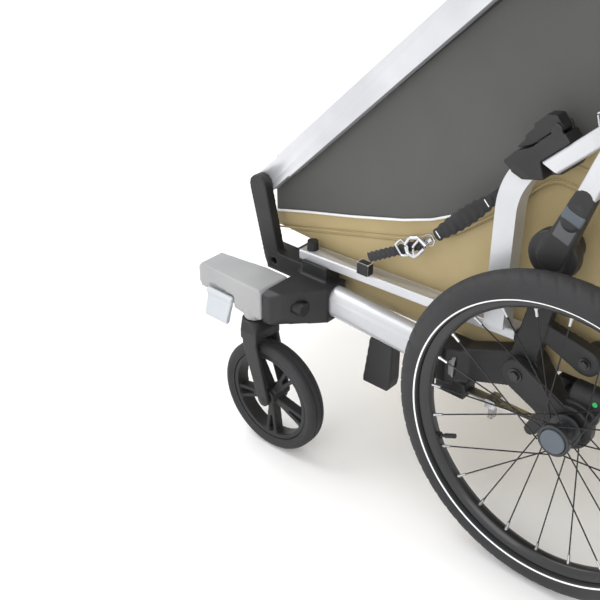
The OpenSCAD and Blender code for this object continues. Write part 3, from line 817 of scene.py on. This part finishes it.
# %% The tub's rear wall and front sill
shape = bmesh.new()
rows = []
for step in range(21):
    z = 0.347 + 0.226 * step / 20
    row = []
    for column in range(41):
        x = -0.2555 + 0.511 * column / 40
        edge = cos(pi * x / 0.511) * sin(pi * step / 20)
        row.append(at(x, 0.2365 + edge * (0.004 + ripple(x, z, 0.004, 7)), z))
    rows.append(row)
add_grid_of(shape, rows)
thicken(shape, 0.0024)
rear_wall = piece("rear_wall_cloth", shape, "khaki_fabric", "chassis", merge=0)
shape = bmesh.new()
add_block(shape, at(0, -0.602, 0.345), (0.510, 0.004, 0.026), 0.0015, 2)
piece("front_sill", shape, "khaki_fabric", "chassis")

# %% [markdown]
# ## Side windows
# Each window is a dark mesh stretched between the tub's top edge and the bent front tube. It is
# a ruled patch: two curves, one below and one above, joined by straight threads. The patch is
# drawn tight, so it only bellies by a millimetre or two. White piping is sewn along its lower
# edge and a black gasket closes the gap at the tube.

# %% Window patches
BEND_MIDDLE = (0.0068, 0.6782)
BEND_RADIUS = 0.250


def spread(points, count):
    """count + 1 points evenly spaced along a side-view line."""
    lengths = [0.0]
    for (y_a, z_a), (y_b, z_b) in zip(points, points[1:]):
        lengths.append(lengths[-1] + ((y_b - y_a) ** 2 + (z_b - z_a) ** 2) ** 0.5)
    out = []
    for step in range(count + 1):
        goal = lengths[-1] * step / count
        place = max(index for index, value in enumerate(lengths[:-1]) if value <= goal + 1e-9)
        share = (goal - lengths[place]) / (lengths[place + 1] - lengths[place])
        (y_a, z_a), (y_b, z_b) = points[place], points[place + 1]
        out.append((y_a + (y_b - y_a) * share, z_a + (z_b - z_a) * share))
    return out


front_bend_line = arc(BEND_MIDDLE, BEND_RADIUS, 135, -40, 12)
window_low = [(-0.603, 0.361), (-0.541, 0.378), (-0.442, 0.402), (-0.342, 0.429), (-0.290, 0.447),
              (-0.249, 0.468), (-0.212, 0.496), (-0.175, 0.529), (-0.138, 0.566),
              (-0.098, 0.606), (0.244, 0.930)]
window_high = [(-0.604, 0.424), *front_bend_line, (0.250, 0.947)]
for side_name, side in SIDES.items():
    shape = bmesh.new()
    rows = []
    for step in range(21):
        share = step / 20
        row = []
        low_points = spread(window_low, 90)
        high_points = spread(window_high, 90)
        for number, (low, high) in enumerate(zip(low_points, high_points)):
            y = low[0] + (high[0] - low[0]) * share
            z = low[1] + (high[1] - low[1]) * share
            belly = sin(pi * share) * sin(pi * number / 90)
            x = 0.2566 + belly * (0.0012 + ripple(y, z, 0.0012, 11))
            row.append(at(side * x, y, z))
        rows.append(row)
    add_grid_of(shape, rows)
    thicken(shape, 0.0016)
    window = piece(f"window_{side_name}_mesh", shape, "window_mesh", None, merge=0)
    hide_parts(f"window_{side_name}")
    bends_with_fold(window)
    shape = bmesh.new()
    line = [at(side * 0.2592, y, z) for y, z in spread(window_low[:-1], 70)]
    add_hose(shape, line, 0.0021, 10)
    piping = piece(f"window_{side_name}_piping", shape, "piping_white", None)
    bends_with_fold(piping)
    shape = bmesh.new()
    gasket_line = [at(side * 0.2592, -0.575, 0.430)]
    gasket_line += [at(side * 0.2592, y, z) for y, z in arc(BEND_MIDDLE, 0.2285, 135, -40, 16)]
    gasket_line.append(at(side * 0.2592, 0.236, 0.9235))
    add_hose(shape, gasket_line, 0.0022, 8)
    piece(f"window_{side_name}_gasket", shape, "trim_dark", "upper_frame")

# %% Seams and stitches along the tub
for side_name, side in SIDES.items():
    ridge = bmesh.new()
    stitches = bmesh.new()
    line = [(y, height_on(EDGE_LINE, y) - 0.028)
            for y in [-0.597 + 0.825 * step / 120 for step in range(121)]]
    add_hose(ridge, [at(side * 0.2588, y, z) for y, z in line], 0.0016, 8)
    for drop in (0.0045, -0.0045):
        points = spread([(y, z - drop) for y, z in line], 165)
        for first, second in zip(points, points[1:]):
            start = at(side * 0.2596, *first)
            end = at(side * 0.2596, *second)
            add_rod(stitches, start, start.lerp(end, 0.62), 0.00045, 6)
    seam = piece(f"tub_seam_{side_name}", ridge, "khaki_fabric", None)
    bends_with_fold(seam)
    row = piece(f"tub_stitches_{side_name}", stitches, "thread", None)
    bends_with_fold(row)

# %% [markdown]
# ## Roof and side gussets
# The roof is a single curved sheet. It starts at the bend of the front tubes, runs back to the
# top bar, rolls over it and drops behind the seats. It crowns a little between the tubes. Under
# each rear tube a triangular gusset of the same cloth closes the cabin's side.

# %% The roof sheet
roof_line = arc(BEND_MIDDLE, BEND_RADIUS, 135, -40, 14)
roof_line += [(0.080, 0.9345), (0.160, 0.9415), (0.225, 0.9470), (0.250, 0.9480),
              (0.262, 0.9430), (0.2655, 0.9300), (0.262, 0.860), (0.254, 0.760), (0.246, 0.660),
              (0.2395, 0.567)]
shape = bmesh.new()
rows = []
line = spread(roof_line, 110)
for number, (y, z) in enumerate(line):
    before = line[max(number - 1, 0)]
    after = line[min(number + 1, 110)]
    run = Vector((after[0] - before[0], after[1] - before[1])).normalized()
    ends = min(1.0, number / 10, (110 - number) / 10)
    row = []
    for column in range(45):
        x = -0.2525 + 0.505 * column / 44
        crown = (1 - (x / 0.2525) ** 2) * ends
        lift = 0.0075 * crown * (1 if number < 62 else 0.3) + crown * ripple(x, z + y, 0.004, 21)
        row.append(at(x, y - run.y * lift, z + run.x * lift))
    rows.append(row)
add_grid_of(shape, rows)
thicken(shape, 0.0022)
roof = piece("roof_cloth", shape, "khaki_fabric", None, sharp=50, merge=0)
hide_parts("canopy")
bends_with_fold(roof)

# %% Gussets under the rear tubes
for side_name, side in SIDES.items():
    shape = bmesh.new()
    rows = []
    for step in range(21):
        share = step / 20
        row = []
        for number in range(49):
            along = number / 48
            low = (-0.100 + 0.340 * along, 0.597 - 0.0365 * along)
            high = (-0.098 + 0.360 * along, 0.604 + 0.328 * along)
            y = low[0] + (high[0] - low[0]) * share
            z = low[1] + (high[1] - low[1]) * share
            belly = sin(pi * share) * sin(pi * along)
            x = 0.2572 + belly * (0.003 + ripple(y, z, 0.006, 31))
            row.append(at(side * x, y, z))
        rows.append(row)
    add_grid_of(shape, rows)
    thicken(shape, 0.002)
    gusset = piece(f"gusset_{side_name}", shape, "khaki_fabric", None, merge=0)
    bends_with_fold(gusset)
    shape = bmesh.new()
    join = [at(side * 0.2592, -0.100 + 0.338 * step / 40, 0.5985 - 0.0350 * step / 40)
            for step in range(41)]
    add_hose(shape, join, 0.0017, 8)
    corner = [at(side * 0.2550, y, z) for y, z in spread(
        [(0.2400, 0.556), (0.2465, 0.660), (0.2550, 0.760), (0.2620, 0.860), (0.2640, 0.918)], 40)]
    add_hose(shape, corner, 0.0032, 10)
    seam = piece(f"gusset_seam_{side_name}", shape, "khaki_fabric", None)
    bends_with_fold(seam)

# %% [markdown]
# ## Seats
# Two children sit side by side, so the bench and the backrest are each two cushions with a seam
# between them. A cushion starts as a rounded block. Its skin is then blown up by a short cloth
# simulation with two seams held still, which gives the crown and the puckers of a real cushion.

# %% Cushions


def stuffed(obj, seams, pressure=4.0, cap=0.009):
    """Inflates a cushion with a cloth simulation, holding the vertices near its seams."""
    remesh = obj.modifiers.new("even_skin", "REMESH")
    remesh.mode = "VOXEL"
    remesh.voxel_size = 0.006
    graph = bpy.context.evaluated_depsgraph_get()
    start = bpy.data.meshes.new_from_object(obj.evaluated_get(graph))
    obj.modifiers.clear()
    obj.data = start
    rest = [vert.co.copy() for vert in start.vertices]
    held = obj.vertex_groups.new(name="seams")
    held.add([vert.index for vert in start.vertices if seams(vert.co)], 1.0, "REPLACE")
    cloth = obj.modifiers.new("air", "CLOTH")
    cloth.settings.use_pressure = True
    cloth.settings.uniform_pressure_force = pressure
    cloth.settings.vertex_group_mass = "seams"
    cloth.settings.effector_weights.gravity = 0.0
    cloth.point_cache.frame_end = 20
    for frame_number in range(1, 21):
        bpy.context.scene.frame_set(frame_number)
    graph = bpy.context.evaluated_depsgraph_get()
    final = bpy.data.meshes.new_from_object(obj.evaluated_get(graph))
    obj.modifiers.clear()
    for vert, place in zip(final.vertices, rest):
        move = vert.co - place
        if move.length > cap:
            vert.co = place + move.normalized() * cap
    obj.data = final
    final.polygons.foreach_set("use_smooth", [True] * len(final.polygons))
    bpy.context.scene.frame_set(1)
    print(f"{obj.name}: {len(final.polygons)} faces after inflating")


BACK_LOW = at(0, 0.085, 0.420)
BACK_HIGH = at(0, 0.190, 0.840)
for side_name, side in SIDES.items():
    shape = bmesh.new()
    middle = at(side * 0.1215, -0.0975, 0.3275)
    add_block(shape, middle, (0.232, 0.372, 0.044), 0.017, 5)
    bench = piece(f"bench_cushion_{side_name}", shape, "seat_fabric", "chassis", sharp=60)
    stuffed(bench, lambda co, m=middle: min(abs(co.y - m.y - 0.065), abs(co.y - m.y + 0.065)) < 0.0035
            and abs(co.x - m.x) < 0.10)
    shape = bmesh.new()
    middle = at(side * 0.1215, 0.145, 0.624)
    add_block(shape, middle, (0.232, 0.032, 0.500), 0.014, 5)
    lean = Matrix.Rotation(radians(-13.6), 3, "X")
    bmesh.ops.rotate(shape, cent=middle, matrix=lean, verts=shape.verts)
    back = piece(f"back_cushion_{side_name}", shape, "seat_fabric", None, sharp=60)
    stuffed(back, lambda co, m=middle: min(abs(co.z - m.z - 0.08), abs(co.z - m.z + 0.08)) < 0.0035
            and abs(co.x - m.x) < 0.10)
    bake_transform(back, "chassis", "upper_frame", BACK_LOW, BACK_HIGH)
    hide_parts("seat_base")
    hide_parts("seat_back")

# %% Harness straps and buckles
for side_name, side in SIDES.items():
    webbing = bmesh.new()
    buckles = bmesh.new()
    shoulder = bmesh.new()
    rows = []
    for offset in (-0.058, -0.032, None, 0.032, 0.058):
        if offset is None:
            add_grid_of(shoulder, rows)
            rows = []
            continue
        line = [(0.066 + 0.105 * step / 30 + 0.004 * sin(pi * step / 30), 0.440 + 0.395 * step / 30)
                for step in range(31)]
        rows.append([at(side * 0.1215 + offset, y + 0.0005, z) for y, z in line])
    add_grid_of(shoulder, rows)
    thicken(shoulder, 0.0016)
    straps = piece(f"harness_shoulder_{side_name}", shoulder, "strap", None, merge=0)
    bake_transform(straps, "chassis", "upper_frame", BACK_LOW, BACK_HIGH)
    add_block(webbing, at(side * 0.1215, -0.105, 0.3600), (0.026, 0.21, 0.0016), 0.0006, 1)
    add_block(buckles, at(side * 0.1215, -0.020, 0.3650), (0.044, 0.060, 0.012), 0.004, 3)
    add_block(buckles, at(side * 0.1215, -0.062, 0.3640), (0.030, 0.026, 0.010), 0.003, 3)
    piece(f"harness_{side_name}", webbing, "strap", "chassis")
    piece(f"harness_buckle_{side_name}", buckles, "trim_dark", "chassis")

# %% [markdown]
# ## Cargo bag
# The bag hangs behind the backrest. It is lofted: one soft outline is repeated from side to side,
# shrunk at both ends where the cloth is gathered, and let down in the middle where the load pulls.

# %% The bag
BAG_OUTLINE = [(0.252, 0.434), (0.252, 0.570), (0.268, 0.765), (0.345, 0.738), (0.386, 0.700),
               (0.395, 0.600), (0.387, 0.446), (0.330, 0.420)]
bag_line = spread([*BAG_OUTLINE, BAG_OUTLINE[0]], 72)[:-1]
for smoothing in range(4):
    bag_line = [tuple((bag_line[index - 1][axis] + 2 * bag_line[index][axis]
                       + bag_line[(index + 1) % 72][axis]) / 4 for axis in (0, 1))
                for index in range(72)]
bag_middle = (sum(y for y, z in bag_line) / 72, sum(z for y, z in bag_line) / 72)
shape = bmesh.new()
loops = []
for station in range(57):
    x = -0.227 + 0.454 * station / 56
    end = 1 - abs(x) / 0.227
    size = 0.80 + 0.20 * min(1.0, end / 0.16) ** 0.5
    sag = 0.007 * (1 - (x / 0.227) ** 2)
    loop = []
    for y, z in bag_line:
        out_y = bag_middle[0] + (y - bag_middle[0]) * size
        out_z = bag_middle[1] + (z - bag_middle[1]) * size
        wave = ripple(x + y, z * 1.4, 0.010, 41) * min(1.0, end / 0.1)
        loop.append(shape.verts.new(at(x, out_y - abs(wave), out_z - sag + wave * 0.4)))
    loops.append(loop)
for first, second in zip(loops, loops[1:]):
    for index in range(72):
        after = (index + 1) % 72
        shape.faces.new((first[index], first[after], second[after], second[index]))
for loop in (loops[0], loops[-1]):
    cap = shape.faces.new(loop)
    bmesh.ops.poke(shape, faces=[cap])
bag = piece("bag_cloth", shape, "khaki_fabric", "chassis", sharp=60)
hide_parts("cargo_bag")

# %% The bag's flap, straps and buckles
shape = bmesh.new()
flap_line = spread([(0.272, 0.7680), (0.310, 0.7600), (0.347, 0.7440), (0.380, 0.7200),
                    (0.3945, 0.690), (0.3975, 0.640), (0.3985, 0.590)], 26)
rows = []
for y, z in flap_line:
    rows.append([at(-0.212 + 0.424 * column / 36, y + 0.0012 * sin(column * 0.9), z)
                 for column in range(37)])
add_grid_of(shape, rows)
thicken(shape, 0.0022)
flap = piece("bag_flap", shape, "khaki_fabric", "chassis", merge=0)
webbing = bmesh.new()
buckles = bmesh.new()
for x in (-0.12, 0.12):
    add_block(webbing, at(x, 0.4005, 0.590), (0.025, 0.0018, 0.150), 0.0006, 1)
    add_block(buckles, at(x, 0.4035, 0.560), (0.034, 0.008, 0.046), 0.003, 3)
piece("bag_straps", webbing, "strap", "chassis")
piece("bag_buckles", buckles, "trim_dark", "chassis")

# %% [markdown]
# ## Rolled front cover
# The weather cover is rolled up and tied under the front of the roof. It hangs between the two
# front tubes and moves with them.

# %% The roll and its ties
shape = bmesh.new()
roll_middle = at(0, -0.168, 0.822)
roll_line = [roll_middle + Vector((-0.236 + 0.472 * step / 40, 0,
                                   -0.006 * (1 - ((step - 20) / 20) ** 2))) for step in range(41)]
add_hose(shape, roll_line, 0.021, 28)
for vert in shape.verts:
    vert.co.z += ripple(vert.co.x * 2, vert.co.y * 4, 0.004, 51)
roll = piece("front_cover_roll", shape, "khaki_fabric", "upper_frame", sharp=60)
shape = bmesh.new()
for x in (-0.15, 0.0, 0.15):
    ring = [(0.0222, -0.011), (0.0236, -0.010), (0.0236, 0.010), (0.0222, 0.011)]
    add_spin(shape, ring, roll_middle + Vector((x, 0, -0.006 * (1 - (x / 0.236) ** 2))), 40)
piece("front_cover_ties", shape, "strap", "upper_frame")

# %% [markdown]
# ## Side straps
# An elastic strap inside a ruched sleeve comes down from under the post, and a steel snap hook
# on it catches a ring near the front. The sleeve is a flattened hose that swells and pinches.

# %% Sleeves, webbing, rings and hooks
for side_name, side in SIDES.items():
    x = side * 0.2972
    top = at(x, -0.169, 0.533)
    low = at(x, -0.256, 0.447)
    sleeve = bmesh.new()
    count = 60
    add_hose(sleeve, [top.lerp(low, step / count) for step in range(count + 1)], 0.0135, 24)
    axis = (low - top).normalized()
    for vert in sleeve.verts:
        along = (vert.co - top).dot(axis)
        share = min(1.0, max(0.0, along / (low - top).length))
        spine = top + axis * along
        swell = 0.62 + 0.38 * sin(pi * share) + 0.07 * sin(share * 52 + vert.co.x * 300)
        offset = (vert.co - spine) * swell
        offset.x *= 0.34
        vert.co = spine + offset
    cover = piece(f"strap_sleeve_{side_name}", sleeve, "strap", "chassis", sharp=60)
    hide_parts("side_straps")
    webbing = bmesh.new()
    start = at(x, -0.276, 0.427)
    strap_way = Vector((0, -cos(radians(30.6)), -sin(radians(30.6))))
    fold = [start + strap_way * (0.0015 * step) for step in range(77)]
    add_hose(webbing, fold, 0.0105, 20)
    for vert in webbing.verts:
        reach = (vert.co - start).dot(strap_way)
        spine = start + strap_way * reach
        swell = 0.72 + 0.09 * sin(reach * 620 + vert.co.x * 400)
        offset = (vert.co - spine) * swell
        offset.x *= 0.42
        vert.co = spine + offset
    verts = add_block(webbing, top + Vector((0, 0.012, 0)), (0.0030, 0.030, 0.018), 0.001, 2)
    turned(webbing, verts, top, 45)
    piece(f"strap_webbing_{side_name}", webbing, "strap", "chassis")
    metal = bmesh.new()
    ring_line = arc((-0.2665, 0.4365), 0.0085, 0, 360, 28)[:-1]
    ring_line.append(ring_line[0])
    add_hose(metal, [at(x, *point) for point in ring_line], 0.0014, 8)
    front = at(x + side * 0.0065, 0, 0)
    hook_line = [(-0.268, 0.429), (-0.282, 0.437), (-0.297, 0.432), (-0.304, 0.419),
                 (-0.299, 0.406), (-0.287, 0.404), (-0.279, 0.412), (-0.270, 0.424)]
    add_hose(metal, [front + Vector((0, *point)) for point in spread(hook_line, 40)], 0.0029, 12)
    gate_line = [(-0.281, 0.434), (-0.290, 0.420), (-0.288, 0.406)]
    add_hose(metal, [front + Vector((0, *point)) for point in spread(gate_line, 12)], 0.0021, 10)
    loop_line = [(-0.322, 0.412), (-0.313, 0.424), (-0.300, 0.417), (-0.296, 0.404),
                 (-0.309, 0.398), (-0.322, 0.412)]
    add_hose(metal, [front + Vector((0, *point)) for point in spread(loop_line, 30)], 0.0019, 10)
    add_rod(metal, at(x, -0.2750, 0.4270), at(x, -0.2620, 0.4400), 0.0032, 14)
    piece(f"strap_hook_{side_name}", metal, "polished_steel", "chassis")
    stitches = bmesh.new()
    for share in (0.08, 0.93):
        middle = top.lerp(low, share)
        verts = add_block(stitches, middle + Vector((side * 0.0047, 0, 0)),
                          (0.0008, 0.0016, 0.012), 0.0003, 1)
        turned(stitches, verts, middle, 45)
    piece(f"strap_stitches_{side_name}", stitches, "reflective_white", "chassis")

# %% [markdown]
# ## Grips, bolts and small fittings
# The small things give the object its scale: foam grips with a lip, hexagon bolts with washers,
# the black anchor and bumper on the side rail, and the green mark on the brake cylinder.

# %% Foam grips
tilt = radians(20)
for side_name, side in SIDES.items():
    middle = at(0, 0.285 + 0.200 * cos(tilt), 0.952 + 0.200 * sin(tilt))
    outline = [(0.0131, 0.046), (0.0156, 0.0462), (0.0168, 0.048), (0.0168, 0.052),
               (0.0162, 0.054)]
    outline += [(0.0163 + 0.0003 * (-1) ** step, 0.056 + 0.0045 * step) for step in range(38)]
    outline += [(0.0168, 0.2290), (0.0168, 0.2320), (0.0156, 0.2338), (0.0131, 0.234)]
    shape = bmesh.new()
    add_spin(shape, [(radius, side * offset) for radius, offset in outline], middle, 72)
    piece(f"grip_{side_name}", shape, "foam_grip", "handlebar", sharp=60)

# %% Bolts, washers and marks
for side_name, side in SIDES.items():
    bolts = bmesh.new()
    for y, z, x, size in ((-0.090, 0.295, 0.3245, 0.0075), (0.0, 0.345, 0.3045, 0.0060),
                          (-0.040, 0.240, 0.3065, 0.006)):
        add_rod(bolts, at(side * x, y, z), at(side * (x + 0.0012), y, z), size * 1.45, 32)
        add_rod(bolts, at(side * (x + 0.001), y, z), at(side * (x + 0.005), y, z), size, 6)
    piece(f"bolts_{side_name}", bolts, "rim_black", "chassis")
    anchor = bmesh.new()
    add_block(anchor, at(side * 0.2985, -0.381, 0.348), (0.0155, 0.023, 0.021), 0.003, 3)
    add_rod(anchor, at(side * 0.285, -0.499, 0.3325), at(side * 0.285, -0.499, 0.3490), 0.0098,
            32, 0.0090)
    piece(f"rail_anchor_{side_name}", anchor, "trim_dark", "chassis")
    mark = bmesh.new()
    add_rod(mark, at(side * 0.3130, 0.028, 0.296), at(side * 0.3146, 0.028, 0.296), 0.0036, 24)
    piece(f"brake_mark_{side_name}", mark, "marker_green", cad_body(f"trailing_arm_{side_name}"))
    wire = bmesh.new()
    loop = [(-0.030, 0.676), (-0.035, 0.692), (-0.023, 0.698), (-0.016, 0.683)]
    add_hose(wire, [at(side * 0.306, y, z) for y, z in spread(loop, 20)], 0.0013, 8)
    piece(f"wire_loop_{side_name}", wire, "polished_steel", "upper_frame")

# %% The rest of the frame, as machined
for node_name, node_object in frame["nodes"].items():
    if not node_object.hide_render:
        slot_name = cad_slot(node_name)
        node_object.data.materials.clear()
        node_object.data.materials.append(FINISH[slot_name])
        print("kept as it is:", node_name, slot_name)
